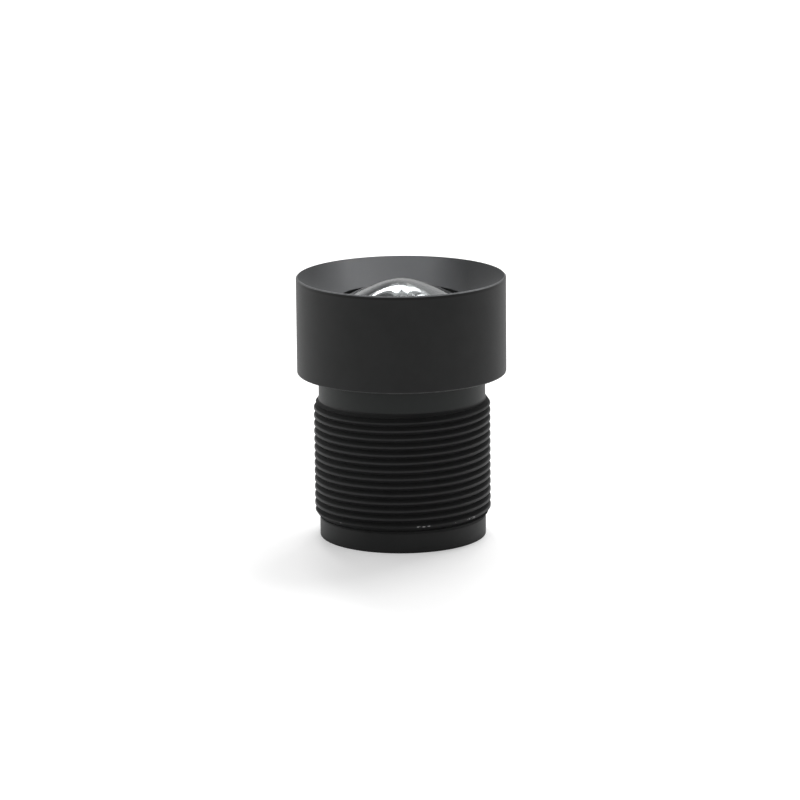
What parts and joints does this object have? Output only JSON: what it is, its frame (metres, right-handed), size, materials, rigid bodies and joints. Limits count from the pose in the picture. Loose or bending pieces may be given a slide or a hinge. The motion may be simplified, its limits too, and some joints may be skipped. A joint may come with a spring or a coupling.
{
  "type": "fpv camera lens",
  "caption": "Black screw-in board lens with a wide hooded head, undercut neck, fine outside thread, glass dome front and a filter at the rear.",
  "frame": {"origin": "on the optical axis, at the rear face of the barrel", "axes": "+Z along the optical axis from the rear face to the glass dome, +X to the right in the picture"},
  "size_m": [0.0142, 0.0142, 0.0179],
  "materials": {
    "barrel": "matte black anodised",
    "front_ring": "satin black anodised",
    "rear_ring": "matte black anodised",
    "spacer": "matte black anodised",
    "stop": "blackened thin sheet",
    "baffle": "black film",
    "seal": "black rubber",
    "front_glass": "polished, green-grey coating",
    "inner_glass": "polished, faint blue coating",
    "filter": "polished, infrared-cut coating"
  },
  "bodies": {
    "root": {"barrel": "barrel", "front_retaining_ring": "front_ring", "front_element": "front_glass", "front_seal": "seal", "front_baffle": "baffle", "second_element": "inner_glass", "front_spacer": "spacer", "third_element": "inner_glass", "stop_spacer": "spacer", "aperture_stop": "stop", "fourth_element": "inner_glass", "fifth_element": "inner_glass", "middle_spacer": "spacer", "sixth_element": "inner_glass", "rear_baffle": "baffle", "rear_spacer": "spacer", "ir_cut_filter": "filter", "rear_retaining_ring": "rear_ring"}
  },
  "joints": []
}
